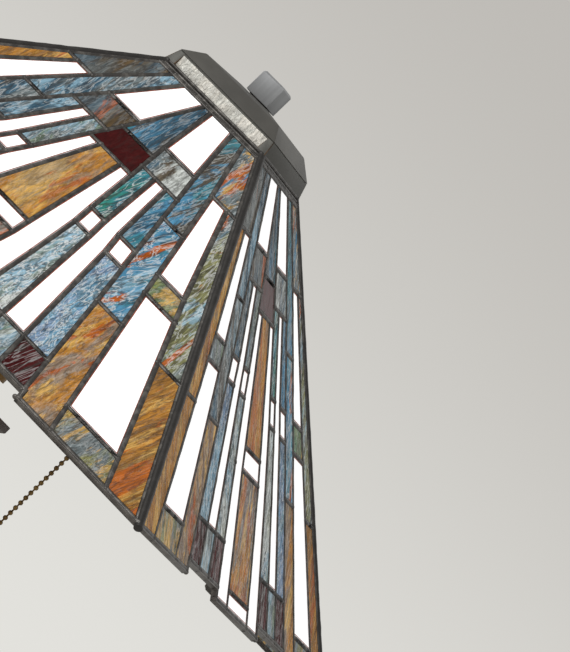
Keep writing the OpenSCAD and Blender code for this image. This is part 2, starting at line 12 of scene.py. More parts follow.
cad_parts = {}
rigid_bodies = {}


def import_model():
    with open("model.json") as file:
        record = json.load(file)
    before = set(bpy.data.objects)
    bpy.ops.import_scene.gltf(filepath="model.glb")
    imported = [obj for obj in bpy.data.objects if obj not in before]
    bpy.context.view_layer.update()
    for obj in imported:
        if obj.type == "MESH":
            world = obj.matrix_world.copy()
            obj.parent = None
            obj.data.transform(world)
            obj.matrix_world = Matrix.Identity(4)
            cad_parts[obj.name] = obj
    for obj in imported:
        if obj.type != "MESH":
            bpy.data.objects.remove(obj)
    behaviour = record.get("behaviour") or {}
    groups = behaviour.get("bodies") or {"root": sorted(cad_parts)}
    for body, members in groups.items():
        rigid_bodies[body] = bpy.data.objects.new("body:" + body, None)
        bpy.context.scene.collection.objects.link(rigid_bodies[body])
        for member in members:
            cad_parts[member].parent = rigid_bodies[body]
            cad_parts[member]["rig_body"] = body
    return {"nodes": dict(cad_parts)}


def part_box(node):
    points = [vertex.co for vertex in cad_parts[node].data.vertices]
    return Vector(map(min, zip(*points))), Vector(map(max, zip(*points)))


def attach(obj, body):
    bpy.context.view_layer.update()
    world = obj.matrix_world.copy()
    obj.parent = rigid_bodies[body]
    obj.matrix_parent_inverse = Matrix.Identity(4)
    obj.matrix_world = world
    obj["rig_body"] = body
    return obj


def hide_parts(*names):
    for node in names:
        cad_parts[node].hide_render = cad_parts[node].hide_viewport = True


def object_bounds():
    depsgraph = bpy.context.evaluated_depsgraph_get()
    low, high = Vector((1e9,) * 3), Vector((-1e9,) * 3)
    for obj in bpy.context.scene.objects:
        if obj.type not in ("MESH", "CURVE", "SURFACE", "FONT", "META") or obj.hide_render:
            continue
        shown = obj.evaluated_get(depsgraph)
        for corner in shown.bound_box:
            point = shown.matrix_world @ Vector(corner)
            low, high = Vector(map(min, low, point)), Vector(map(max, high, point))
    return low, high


bl_info = {
    "name": "Stained Glass Table Lamp",
    "version": (1, 0, 0),
    "blender": (4, 5, 0),
    "location": "View3D > Sidebar > Glass Lamp",
    "description": "Finishes a leaded glass table lamp and sets it on a plain stage",
    "category": "Object",
}

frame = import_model()
NODES = frame["nodes"]
CAD_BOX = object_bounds()
PANELS = (("front", 0), ("right", 90), ("back", 180), ("left", 270))
GLASS_COLOURS = ("white", "amber", "blue", "green", "red")
MM = 0.001


# ---------------------------------------------------------------- settings


def tint(r, g, b):
    """A display colour, 0 to 255 each way, as linear light."""
    return tuple(
        c / 12.92 if c <= 0.04045 else ((c + 0.055) / 1.055) ** 2.4
        for c in (r / 255, g / 255, b / 255)
    )


def colour(name, about, default):
    return FloatVectorProperty(
        name=name, description=about, default=default, subtype="COLOR", size=3, min=0, max=1
    )


def length(name, about, default, low, high):
    return FloatProperty(
        name=name, description=about, default=default, min=low, max=high,
        unit="LENGTH", precision=4,
    )


def angle(name, about, degrees):
    return FloatProperty(
        name=name, description=about, default=math.radians(degrees), subtype="ANGLE"
    )


class GlassPalette(bpy.types.PropertyGroup):
    """Colours that the sheets of glass are mixed from."""

    white: colour("White", "Opal white of the plain panes", tint(252, 252, 252))
    pearl: colour("Pearl", "Pale wisps in the rippled panes", tint(216, 220, 214))
    ivory: colour("Ivory", "The strip let into the crown", tint(240, 235, 224))
    honey: colour("Honey", "Light part of the amber sheets", tint(222, 176, 96))
    amber: colour("Amber", "Main colour of the amber sheets", tint(192, 132, 54))
    rust: colour("Rust", "Orange streaks in the amber and blue sheets", tint(188, 96, 36))
    umber: colour("Umber", "Brown streaks", tint(92, 76, 54))
    smoke: colour("Smoke", "Grey of the smoky sheets", tint(118, 128, 130))
    lavender: colour("Lavender", "Grey violet patches", tint(136, 156, 190))
    steel: colour("Steel blue", "Deep blue of the wedge", tint(56, 94, 116))
    azure: colour("Azure", "Main blue", tint(84, 144, 178))
    sky: colour("Sky", "Pale blue", tint(152, 190, 210))
    teal: colour("Teal", "Green blue", tint(64, 138, 150))
    emerald: colour("Emerald", "Clear green wisps", tint(52, 150, 108))
    olive: colour("Olive", "Yellow green", tint(144, 142, 84))
    lichen: colour("Lichen", "Grey green", tint(112, 132, 100))
    maroon: colour("Maroon", "Dark smooth red", tint(68, 18, 18))
    ruby: colour("Ruby", "Dark rippled red", tint(86, 24, 26))


class MetalPalette(bpy.types.PropertyGroup):
    """Colours of the leading, the crown and the base."""

    solder: colour("Solder", "Dark patina on the solder lines", tint(74, 71, 68))
    solder_worn: colour("Worn solder", "Where the patina is rubbed", tint(134, 130, 124))
    channel: colour("Channel", "Zinc channel along the rim", tint(98, 93, 89))
    crown: colour("Crown", "Smooth dark metal of the crown", tint(90, 89, 84))
    cap: colour("Cap", "Roof of the crown", tint(96, 94, 89))
    finial: colour("Finial", "Brushed metal block", tint(156, 157, 158))
    bronze: colour("Bronze", "Dark bronze of the base", tint(72, 56, 46))
    bronze_worn: colour("Worn bronze", "Rubbed edges of the base", tint(122, 92, 62))
    brass: colour("Brass", "Aged brass of the light fittings", tint(128, 100, 58))
    socket: colour("Socket", "Brass of the lamp sockets", tint(170, 138, 76))


class LampSizes(bpy.types.PropertyGroup):
    """Sizes of the hand-made detail."""

    bead_radius: length("Solder radius", "Radius of a solder line", 1.95 * MM, 0.001, 0.003)
    bead_height: FloatProperty(
        name="Solder height", description="Height of a solder line over its width",
        default=1.05, min=0.8, max=1.6,
    )
    bead_wobble: FloatProperty(
        name="Solder wobble", description="How uneven the solder lines are",
        default=0.10, min=0, max=0.3, subtype="FACTOR",
    )
    corner_radius: length(
        "Corner radius", "Radius of the bead down a corner", 2.9 * MM, 0.002, 0.004
    )
    foil_width: length(
        "Foil width", "Copper foil that shows on a white pane's edge", 0.62 * MM, 0.0003, 0.001
    )
    seed: IntProperty(name="Seed", description="Picks the pattern of each pane", default=11, min=0)


class StageSettings(bpy.types.PropertyGroup):
    """Camera, light and floor."""

    azimuth: angle("Azimuth", "Camera's direction round the lamp", 22.28)
    elevation: angle("Elevation", "Camera's height as an angle", -1.08)
    roll: angle("Roll", "How far the camera is rolled", 45.96)
    pan: angle("Pan", "How far the camera looks to the side of the shade's axis", -1.47)
    tilt: angle("Tilt", "How far the camera looks above the shade's middle", -0.40)
    distance: FloatProperty(
        name="Distance", description="Camera's distance from the shade's axis",
        default=4.2975, min=1, unit="LENGTH",
    )
    lens: FloatProperty(
        name="Lens", description="Focal length in millimetres", default=384.2, min=50, max=600
    )
    key_power: FloatProperty(
        name="Key light", description="Power of the large soft light, in watts", default=62, min=0
    )
    world_strength: FloatProperty(
        name="Sky light", description="Strength of the light from all round", default=0.40, min=0
    )
    # Glow paints light into the glass: an emission on the panes and crown strips that stands in for
    # light passing through them
    glow: FloatProperty(
        name="Glow", description="Light that the opal glass passes on", default=0.55, min=0, max=2
    )


# ---------------------------------------------------------------- node groups


def feed(tree, socket, value):
    """Set a socket to a value, or link it to an output."""
    if isinstance(value, bpy.types.NodeSocket):
        tree.links.new(value, socket)
    else:
        socket.default_value = value


def add_node(tree, kind, feeds=None, **settings):
    """A node with its settings, and with the values or outputs in feeds on its inputs."""
    made = tree.nodes.new(kind)
    column, row = divmod(len(tree.nodes), 6)
    made.location = (260 * column, -320 * row)
    for key, value in settings.items():
        setattr(made, key, value)
    for key, value in (feeds or {}).items():
        feed(tree, made.inputs[key], value)
    return made


def calculate(tree, operation, *values, kind="ShaderNodeMath"):
    return add_node(tree, kind, dict(enumerate(values)), operation=operation).outputs[0]


def ranged(tree, value, low, high, start=0.0, end=1.0, kind="LINEAR"):
    """A value, mapped from low and high to start and end."""
    feeds = {"Value": value, "From Min": low, "From Max": high, "To Min": start, "To Max": end}
    return add_node(
        tree, "ShaderNodeMapRange", feeds, interpolation_type=kind
    ).outputs["Result"]


def smoothed(tree, value, low, high, start=0.0, end=1.0):
    return ranged(tree, value, low, high, start, end, "SMOOTHSTEP")


def mixed(tree, factor, first, second, blend="MIX"):
    feeds = {0: factor, 6: first, 7: second}
    return add_node(
        tree, "ShaderNodeMix", feeds, data_type="RGBA", blend_type=blend
    ).outputs[2]


def shaded(tree, tone, value):
    """A colour times a value."""
    grey = add_node(tree, "ShaderNodeCombineColor", {0: value, 1: value, 2: value})
    return mixed(tree, 1, tone, grey.outputs[0], "MULTIPLY")


def noise_node(tree, vector, scale, detail, rough=0.5, bend=0.0):
    feeds = {"Vector": vector, "Scale": scale, "Detail": detail, "Roughness": rough,
             "Distortion": bend}
    return add_node(tree, "ShaderNodeTexNoise", feeds).outputs[0]


def grain(tree, vector, scale, factor, detail, rough, bend, shift=None):
    """Noise at a scale times a factor, on a vector that may be shifted."""
    if shift is not None:
        vector = calculate(tree, "ADD", vector, shift, kind="ShaderNodeVectorMath")
    return noise_node(
        tree, vector, calculate(tree, "MULTIPLY", scale, factor), detail, rough, bend
    )


def stretched(tree, vector, amount):
    """The vector, drawn out along Y by an amount."""
    feeds = {"X": 1.0, "Y": calculate(tree, "DIVIDE", 1, amount), "Z": 1.0}
    scale = add_node(tree, "ShaderNodeCombineXYZ", feeds)
    return calculate(tree, "MULTIPLY", vector, scale.outputs[0], kind="ShaderNodeVectorMath")


def new_group(name, inputs, outputs):
    """A node group with a Vector input and {label: default} inputs, colours if four values."""
    group = bpy.data.node_groups.new(name, "ShaderNodeTree")
    group.interface.new_socket(name="Vector", in_out="INPUT", socket_type="NodeSocketVector")
    for label, default in inputs.items():
        kind = "Color" if isinstance(default, tuple) else "Float"
        socket = group.interface.new_socket(
            name=label, in_out="INPUT", socket_type=f"NodeSocket{kind}"
        )
        socket.default_value = default
    for label, kind in outputs.items():
        group.interface.new_socket(
            name=label, in_out="OUTPUT", socket_type=f"NodeSocket{kind}"
        )
    given = add_node(group, "NodeGroupInput").outputs
    return group, given, add_node(group, "NodeGroupOutput").inputs


GREY = (0.5, 0.5, 0.5, 1)
# Layers over the ground: colour, its strength, then the noise's scale, detail, roughness,
# bend and shift, and the two levels that the layer begins and is full at
GLASS_LAYERS = (
    ("Cloud", "Cloudiness", 0.75, 4, 0.55, 0.8, None, 0.45, 0.55),
    ("Streak", "Streakiness", 1.7, 8, 0.68, 0.5, (3.1, 7.7, 1.3), 0.50, 0.57),
    ("Accent", "Accents", 1.1, 8, 0.66, 0.7, (9.2, 1.7, 4.4), 0.555, 0.60),
)
# Ripple lines, painted shadow in the hollows and then painted glint highlights on the crests:
# strength, scale, shift, width, colour
RIPPLE_SHADOWS_AND_GLINTS = (
    ("Shadows", 2.6, None, 0.065, (0.05, 0.045, 0.04, 1)),
    ("Glints", 4.6, (5.5, 2.5, 8.5), 0.045, (0.84, 0.86, 0.85, 1)),
)


def streaked_glass_group():
    """Hand-rolled sheet glass: a ground with clouds, streaks and accents, and fine ripple lines of
    painted shadow and painted glint highlight.
    """
    name = "Streaked Glass"
    if name in bpy.data.node_groups:
        return bpy.data.node_groups[name]
    group, given, sink = new_group(name, {
        "Ground": GREY, "Cloud": GREY, "Streak": GREY, "Accent": GREY, "Size": 60.0,
        "Length": 3.0, "Cloudiness": 0.8, "Streakiness": 0.7, "Accents": 0.4, "Glints": 0.3,
        "Shadows": 0.5,
    }, {"Color": "Color"})
    size = given["Size"]
    flow = stretched(group, given["Vector"], given["Length"])
    tone = given["Ground"]
    for label, strength, scale, detail, rough, bend, shift, low, high in GLASS_LAYERS:
        mask = smoothed(
            group, grain(group, flow, size, scale, detail, rough, bend, shift), low, high
        )
        factor = calculate(group, "MULTIPLY", mask, given[strength])
        tone = mixed(group, factor, tone, given[label])
    # Fine strokes along the flow darken and lighten the sheet
    strokes = grain(group, flow, size, 5.0, 8, 0.75, 0.4)
    tone = shaded(group, tone, ranged(group, strokes, 0.34, 0.66, 0.55, 1.38))
    # Painted light: dark lines stand for shadow in the ripples' hollows, bright lines for glints of
    # light on their crests
    for strength, scale, shift, width, painted_tone in RIPPLE_SHADOWS_AND_GLINTS:
        level = grain(group, flow, size, scale, 4, 0.6, 0.8, shift)
        away = calculate(group, "ABSOLUTE", calculate(group, "SUBTRACT", level, 0.5))
        line = smoothed(group, away, 0.0, width, 1.0, 0.0)
        tone = mixed(group, calculate(group, "MULTIPLY", line, given[strength]), tone, painted_tone)
    feed(group, sink["Color"], tone)
    return group


def rippled_surface_group():
    """The rolled surface of cathedral glass: long shallow ripples with a finer grain."""
    name = "Rippled Surface"
    if name in bpy.data.node_groups:
        return bpy.data.node_groups[name]
    group, given, sink = new_group(
        name, {"Size": 260.0, "Length": 2.5, "Fine": 0.35}, {"Height": "Float"}
    )
    flow = stretched(group, given["Vector"], given["Length"])
    wide = noise_node(group, flow, given["Size"], 2.0, bend=1.4)
    fine = grain(group, flow, given["Size"], 3.1, 3.0, 0.5, 0.6)
    total = calculate(
        group, "ADD", smoothed(group, wide, 0.34, 0.66),
        calculate(group, "MULTIPLY", fine, given["Fine"]),
    )
    feed(group, sink["Height"], total)
    return group


def worn_metal_group():
    """Patina on metal, rubbed in patches, with a fine grain."""
    name = "Worn Metal"
    if name in bpy.data.node_groups:
        return bpy.data.node_groups[name]
    group, given, sink = new_group(name, {
        "Patina": (0.05, 0.05, 0.05, 1), "Worn": (0.2, 0.2, 0.2, 1), "Patch Size": 120.0,
        "Wear": 0.5, "Smooth": 0.3, "Rough": 0.5,
    }, {"Color": "Color", "Roughness": "Float", "Height": "Float"})
    size = given["Patch Size"]
    patches = grain(group, given["Vector"], size, 1.0, 5.0, 0.5, 0.6)
    fine = grain(group, given["Vector"], size, 6.5, 4.0, 0.5, 0.0)
    rubbed = calculate(
        group, "MULTIPLY", smoothed(group, patches, 0.42, 0.68), given["Wear"]
    )
    tone = mixed(group, rubbed, given["Patina"], given["Worn"])
    feed(group, sink["Color"], shaded(group, tone, ranged(group, fine, 0.0, 1.0, 0.82, 1.16)))
    feed(group, sink["Roughness"],
         ranged(group, fine, 0.0, 1.0, given["Smooth"], given["Rough"]))
    feed(group, sink["Height"], fine)
    return group


# ---------------------------------------------------------------- materials


def new_material(name):
    """A node material with its Principled shader, or None for the shader if it was made before."""
    if name in bpy.data.materials:
        return bpy.data.materials[name], None
    made = bpy.data.materials.new(name)
    made.use_nodes = True
    return made, made.node_tree.nodes["Principled BSDF"]


def place_group(tree, group, **values):
    """The outputs of a group placed in a tree, with its inputs fed."""
    made = add_node(tree, "ShaderNodeGroup", node_tree=group)
    for key, value in values.items():
        feed(tree, made.inputs[key.replace("_", " ")], value)
    return made.outputs


def dress(tree, shader, height, strength, distance, **values):
    """Feed a shader's inputs, with a bump from a height."""
    bump = add_node(
        tree, "ShaderNodeBump", {"Strength": strength, "Distance": distance, "Height": height}
    )
    feed(tree, shader.inputs["Normal"], bump.outputs["Normal"])
    for key, value in values.items():
        feed(tree, shader.inputs[key.replace("_", " ")], value)


def object_place(tree):
    return add_node(tree, "ShaderNodeTexCoord").outputs["Object"]


# Each sheet of glass: ground, cloud, streak and accent colours; pattern size and length;
# cloudiness, streakiness, accents, painted glints, painted shadows; ripple depth; roughness.
SHEETS = {
    "opal_white": ("white", "white", "white", "white", 30, 2, 0, 0, 0, 0, 0, 0.05, 0.22),
    "honey_amber": ("amber", "honey", "smoke", "rust", 66, 5, 0.9, 0.4, 0.7, 0.1, 0.3, 0.5, 0.24),
    "amber_sky": ("amber", "smoke", "rust", "honey", 60, 4, 0.8, 0.7, 0.8, 0.3, 0.5, 0.5, 0.24),
    "smoky_kite": ("smoke", "pearl", "umber", "steel", 55, 4, 0.8, 0.9, 0.7, 0.4, 0.5, 0.5, 0.2),
    "smoky_dark": ("umber", "smoke", "steel", "rust", 42, 5, 0.7, 0.5, 0.7, 0.1, 0.7, 0.5, 0.2),
    "rusty_amber": ("amber", "smoke", "honey", "rust", 56, 4, 0.6, 0.9, 0.9, 0.15, 0.5, 0.6, 0.2),
    "agate": ("smoke", "azure", "honey", "rust", 58, 4.5, 0.9, 0.9, 0.9, 0.4, 0.5, 0.5, 0.2),
    "grey_amber": ("smoke", "olive", "honey", "umber", 58, 4, 0.9, 0.8, 0.6, 0.25, 0.5, 0.6, 0.2),
    "flame_amber": ("amber", "umber", "honey", "rust", 76, 8, 0.4, 0.8, 0.8, 0.06, 0.55, 0.5, 0.22),
    "steel_wedge": ("steel", "azure", "umber", "teal", 58, 7, 0.9, 0.7, 0.8, 0.25, 0.6, 0.4, 0.22),
    "pearl_ripple": ("sky", "pearl", "olive", "steel", 60, 3.5, 0.9, 0.5, 0.6, 0.9, 0.7, 0.9, 0.16),
    "azure_violet": ("azure", "teal", "steel", "sky", 64, 6, 0.8, 0.8, 0.7, 0.4, 0.6, 0.6, 0.2),
    "azure_ripple": (
        "sky", "lavender", "azure", "steel", 66, 3.5, 0.8, 0.7, 0.5, 0.7, 0.6, 0.9, 0.16,
    ),
    "blue_umber": ("azure", "smoke", "teal", "umber", 48, 5, 0.85, 0.8, 0.9, 0.3, 0.65, 0.5, 0.2),
    "blue_ember": ("azure", "sky", "teal", "rust", 44, 4, 0.8, 0.6, 1.0, 0.6, 0.65, 0.7, 0.18),
    "blue_mist": ("smoke", "steel", "sky", "umber", 52, 5, 0.9, 0.8, 0.7, 0.4, 0.6, 0.6, 0.2),
    "emerald_wisp": ("teal", "emerald", "steel", "sky", 58, 6, 0.9, 0.7, 0.6, 0.6, 0.7, 0.5, 0.2),
    "sea_grey": ("smoke", "sky", "lichen", "pearl", 58, 4, 0.8, 0.8, 0.6, 0.4, 0.55, 0.5, 0.22),
    "olive_green": (
        "olive", "lichen", "emerald", "honey", 60, 3, 0.8, 0.5, 0.8, 0.2, 0.5, 0.5, 0.24,
    ),
    "lichen_streak": ("smoke", "olive", "sky", "rust", 50, 5, 0.8, 0.8, 0.9, 0.5, 0.7, 0.6, 0.2),
    "maroon_smooth": ("maroon", "maroon", "maroon", "maroon", 40, 2, 0, 0, 0, 0, 0.15, 0.06, 0.2),
    "ruby_ripple": ("maroon", "ruby", "maroon", "maroon", 40, 8, 0.6, 0, 0, 0.3, 0.8, 1.0, 0.14),
    "ivory_granite": ("ivory", "pearl", "ivory", "umber", 110, 4, 0.4, 0, 0.2, 0.2, 0.2, 0.5, 0.3),
}
# Share of the painted glow, an emission that stands in for light through the glass, that a
# patterned sheet gives, against plain white
PATTERN_PAINTED_GLOW = 0.22


def glass_material(name, palette, glow):
    """Opalescent sheet glass, patterned along its pane."""
    made, shader = new_material(name)
    if shader is None:
        return made
    (ground, cloud, streak, accent, size, run, cloudiness, streakiness, accents, glints,
     shadows, ripple_depth, roughness) = SHEETS[name]
    tree = made.node_tree
    place = add_node(tree, "ShaderNodeUVMap", uv_map="pane").outputs["UV"]
    tone = {key: (*getattr(palette, key), 1) for key in (ground, cloud, streak, accent)}
    ripple = place_group(
        tree, rippled_surface_group(), Vector=place, Size=size * 2.6, Length=2.0
    )
    pattern = place_group(
        tree, streaked_glass_group(), Vector=place, Ground=tone[ground], Cloud=tone[cloud],
        Streak=tone[streak], Accent=tone[accent], Size=size, Length=run,
        Cloudiness=cloudiness, Streakiness=streakiness, Accents=accents, Glints=glints,
        Shadows=shadows,
    )["Color"]
    plain = name == "opal_white"
    base = tone[ground] if plain else pattern
    # The emission at the Glow strength is a painted glow: it stands in for light passing through
    # the glass, which is no lamp
    dress(
        tree, shader, ripple["Height"], 0.9, 1.6 * MM * max(0.1, ripple_depth),
        Base_Color=base, Emission_Color=base, Roughness=roughness, IOR=1.4,
        Specular_IOR_Level=0.14, Emission_Strength=glow * (1.0 if plain else PATTERN_PAINTED_GLOW),
    )
    return made


# Each metal: patina and worn colours, then whatever differs from the defaults below it. A
# colour is one of the palette's, that one times a factor, or three display values.
METALS = {
    "copper_foil": ((150, 78, 52), (206, 96, 58), dict(patch=400, wear=0.9, metallic=0.4)),
    "solder_patina": ("solder", "solder_worn", dict(
        patch=170, wear=0.55, rough=0.52, metallic=0.55, depth=0.6)),
    "zinc_channel": ("channel", "solder_worn", dict(
        patch=90, wear=0.6, smooth=0.28, metallic=0.6, depth=0.4)),
    "corner_solder": (("solder", 0.55), "solder", dict(
        smooth=0.32, rough=0.55, metallic=0.5, depth=0.5)),
    "bright_solder": ((150, 148, 143), (226, 225, 221), dict(
        patch=260, wear=0.8, smooth=0.22, rough=0.4, metallic=0.75)),
    "crown_patina": ("crown", "cap", dict(
        patch=18, smooth=0.42, rough=0.56, metallic=0.45, depth=0.12)),
    "crown_post": ((70, 64, 58), (120, 92, 66), dict(
        patch=60, wear=0.6, rough=0.45, depth=0.2)),
    "roof_patina": ("cap", (124, 122, 115), dict(
        patch=14, wear=0.45, smooth=0.42, rough=0.56, metallic=0.45, depth=0.12)),
    "carrier_steel": ((120, 118, 114), (160, 158, 152), dict(patch=60, metallic=0.9)),
    "finial_brushed": ("finial", (174, 175, 175), dict(
        patch=70, wear=0.6, smooth=0.42, rough=0.54, metallic=0.3, depth=0.35,
        stretch=(1, 1, 0.06))),
    "check_ring": ("solder", "crown", dict(patch=90)),
    "base_bronze": ("bronze", "bronze_worn", dict(
        patch=45, wear=0.35, smooth=0.34, rough=0.52, metallic=0.75, depth=0.35)),
    "weight_iron": ((60, 60, 62), (90, 86, 82), dict(
        patch=60, smooth=0.5, rough=0.75, metallic=0.6, depth=0.6)),
    "hammered_panel": ("bronze_worn", "brass", dict(
        patch=70, wear=0.6, rough=0.46, metallic=0.85, depth=0.5, distance=0.6 * MM)),
    "aged_brass": ("brass", "bronze_worn", dict(
        patch=90, smooth=0.26, rough=0.44, metallic=0.9, depth=0.3)),
    "socket_shell": ("socket", "brass", dict(
        patch=60, smooth=0.22, rough=0.38, metallic=1.0, depth=0.15)),
    "bulb_cap": ((178, 178, 174), (205, 205, 200), dict(
        patch=90, smooth=0.2, rough=0.36, metallic=1.0)),
    "bead_brass": ((108, 86, 54), (156, 128, 80), dict(
        patch=300, wear=0.6, smooth=0.24, rough=0.4, metallic=0.95)),
}


def metal_colour(metals, tone):
    if isinstance(tone, str):
        return (*getattr(metals, tone), 1)
    if isinstance(tone[0], str):
        return (*(c * tone[1] for c in getattr(metals, tone[0])), 1)
    return (*tint(*tone), 1)


def metal_material(name, metals):
    patina, worn, settings = METALS[name]
    return metal_skin(
        name, metal_colour(metals, patina), metal_colour(metals, worn), **settings
    )


def metal_skin(name, patina, worn, patch=120, wear=0.5, smooth=0.3, rough=0.5, metallic=0.7,
               depth=0.25, stretch=(1, 1, 1), distance=0.2 * MM):
    """Metal with a patina that is rubbed in patches."""
    made, shader = new_material(name)
    if shader is None:
        return made
    tree = made.node_tree
    turn = add_node(
        tree, "ShaderNodeMapping", {"Vector": object_place(tree), "Scale": stretch}
    )
    skin = place_group(
        tree, worn_metal_group(), Vector=turn.outputs["Vector"], Patina=patina, Worn=worn,
        Patch_Size=patch, Wear=wear, Smooth=smooth, Rough=rough,
    )
    dress(tree, shader, skin["Height"], depth, distance, Base_Color=skin["Color"],
          Roughness=skin["Roughness"], Metallic=metallic)
    return made


def frosted_material():
    """Frosted glass with a soft warm glow."""
    made, shader = new_material("frosted_bulb")
    if shader is None:
        return made
    tree = made.node_tree
    mottle = noise_node(tree, object_place(tree), 60.0, 2.0)
    feeds = {
        "Base Color": mixed(tree, mottle, (0.93, 0.92, 0.88, 1), (0.98, 0.97, 0.94, 1)),
        "Roughness": 0.35, "Emission Color": (1.0, 0.93, 0.82, 1), "Emission Strength": 0.25,
    }
    for key, value in feeds.items():
        feed(tree, shader.inputs[key], value)
    return made


def soft_material(name, light, dark, size, roughness, sheen=0.0):
    """Felt or moulded plastic: a fine mottled grain."""
    made, shader = new_material(name)
    if shader is None:
        return made
    tree = made.node_tree
    skin = place_group(
        tree, worn_metal_group(), Vector=object_place(tree), Patina=(*dark, 1),
        Worn=(*light, 1), Patch_Size=size, Wear=0.9, Smooth=roughness - 0.08,
        Rough=roughness + 0.08,
    )
    dress(tree, shader, skin["Height"], 0.4, 0.3 * MM, Base_Color=skin["Color"],
          Roughness=skin["Roughness"], Sheen_Weight=sheen)
    return made


# ---------------------------------------------------------------- making pieces


def add_piece(name, bm, materials, node, smooth_angle=35):
    """The finished mesh as a piece that stands for a CAD node and rides on its body."""
    mesh = bpy.data.meshes.new(name)
    for face in bm.faces:
        face.smooth = True
    bm.to_mesh(mesh)
    bm.free()
    mesh.set_sharp_from_angle(angle=math.radians(smooth_angle))
    piece = bpy.data.objects.new(name, mesh)
    bpy.context.scene.collection.objects.link(piece)
    for material in materials:
        mesh.materials.append(material)
    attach(piece, NODES[node]["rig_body"])
    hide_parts(node)
    return piece


def merged_copy(node):
    """A CAD node's shape with its triangles joined into whole faces."""
    bm = bmesh.new()
    bm.from_mesh(NODES[node].data)
    bmesh.ops.remove_doubles(bm, verts=bm.verts, dist=2e-6)
    bmesh.ops.dissolve_limit(bm, angle_limit=math.radians(0.6), verts=bm.verts, edges=bm.edges,
                             use_dissolve_boundaries=False)
    return bm


def round_edges(bm, width, segments=3, angle=28):
    edges = [e for e in bm.edges if len(e.link_faces) == 2
             and e.calc_face_angle(0) > math.radians(angle)]
    bmesh.ops.bevel(bm, geom=edges, offset=width, offset_type="OFFSET", segments=segments,
                    profile=0.5, affect="EDGES", clamp_overlap=True, material=-1)


def rounded_copy(node, width, segments=3, angle=28):
    bm = merged_copy(node)
    round_edges(bm, width, segments, angle)
    return bm


def add_rounded(name, node, material, width, segments=2, smooth_angle=35, angle=28):
    """A CAD node's shape with its edges rounded by a width in millimetres, as a piece."""
    bm = rounded_copy(node, width * MM, segments, angle)
    return add_piece(name, bm, [material], node, smooth_angle)


def absorb(bm, other, index=0):
    """Move one mesh into another, its faces on a material index."""
    for face in other.faces:
        face.material_index = index
    scratch = bpy.data.meshes.new("scratch")
    other.to_mesh(scratch)
    other.free()
    bm.from_mesh(scratch)
    bpy.data.meshes.remove(scratch)


def islands(bm):
    """Groups of faces that hang together."""
    seen = set()
    for start in bm.faces:
        if start in seen:
            continue
        group, stack = [], [start]
        seen.add(start)
        while stack:
            face = stack.pop()
            group.append(face)
            for edge in face.edges:
                for other in edge.link_faces:
                    if other not in seen:
                        seen.add(other)
                        stack.append(other)
        yield group


def lathe(profile, centre, steps=40):
    """A turned solid: (radius, height) points spun round an upright axis at centre."""
    bm = bmesh.new()
    points = [bm.verts.new((r, 0, z)) for r, z in profile]
    edges = [bm.edges.new(pair) for pair in zip(points, points[1:])]
    bmesh.ops.spin(bm, geom=points + edges, cent=(0, 0, 0), axis=(0, 0, 1),
                   angle=2 * math.pi, steps=steps, use_merge=True)
    bmesh.ops.remove_doubles(bm, verts=bm.verts, dist=1e-6)
    bmesh.ops.recalc_face_normals(bm, faces=bm.faces)
    bmesh.ops.translate(bm, verts=bm.verts, vec=(centre[0], centre[1], 0))
    return bm


def add_ball(bm, centre, radius, squash=(1, 1, 1), turn=None, u=12, v=8):
    place = Matrix.Translation(centre)
    if turn is not None:
        place = place @ turn
    place = place @ Matrix.Diagonal((*squash, 1))
    return bmesh.ops.create_uvsphere(bm, u_segments=u, v_segments=v, radius=radius, matrix=place)


def middle(node):
    low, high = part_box(node)
    return (low + high) / 2


# ---------------------------------------------------------------- panels


class PanelPlan:
    """One sloping panel of the shade, measured from its leading."""

    def __init__(self, side, turn):
        self.side = side
        mesh = NODES["came_front"].data
        areas = {}
        for face in mesh.polygons:
            key = tuple(round(c, 3) for c in face.normal)
            areas[key] = areas.get(key, 0) + face.area
        out = Vector(max((a, n) for n, a in areas.items() if n[1] < 0 < n[2])[1]).normalized()
        across = Vector((1, 0, 0))
        up = out.cross(across)
        heights = [v.co.dot(out) for v in mesh.vertices]
        level = (max(heights) + min(heights)) / 2
        tops = [v.co.dot(up) for v in mesh.vertices]
        self.foot = max(tops) - min(v.co.dot(up) for v in NODES["rim_front"].data.vertices)
        axes = Matrix((across, up, out)).transposed().to_4x4()
        place = Matrix.Translation(out * level + up * max(tops)) @ axes
        self.matrix = Matrix.Rotation(math.radians(turn), 4, "Z") @ place
        self.inverse = self.matrix.inverted()
        ends = [place.inverted() @ v.co for v in mesh.vertices]
        self.top_half = max(p.x for p in ends if p.y > -0.001)
        low = min(p.y for p in ends)
        self.low_half = max(p.x for p in ends if p.y < low + 0.001)
        self.low = -low

    def half_at(self, down):
        return self.top_half + (self.low_half - self.top_half) * down / self.low


# Share of the half width that counts as the middle column of panes
MIDDLE_SHARE = 0.06


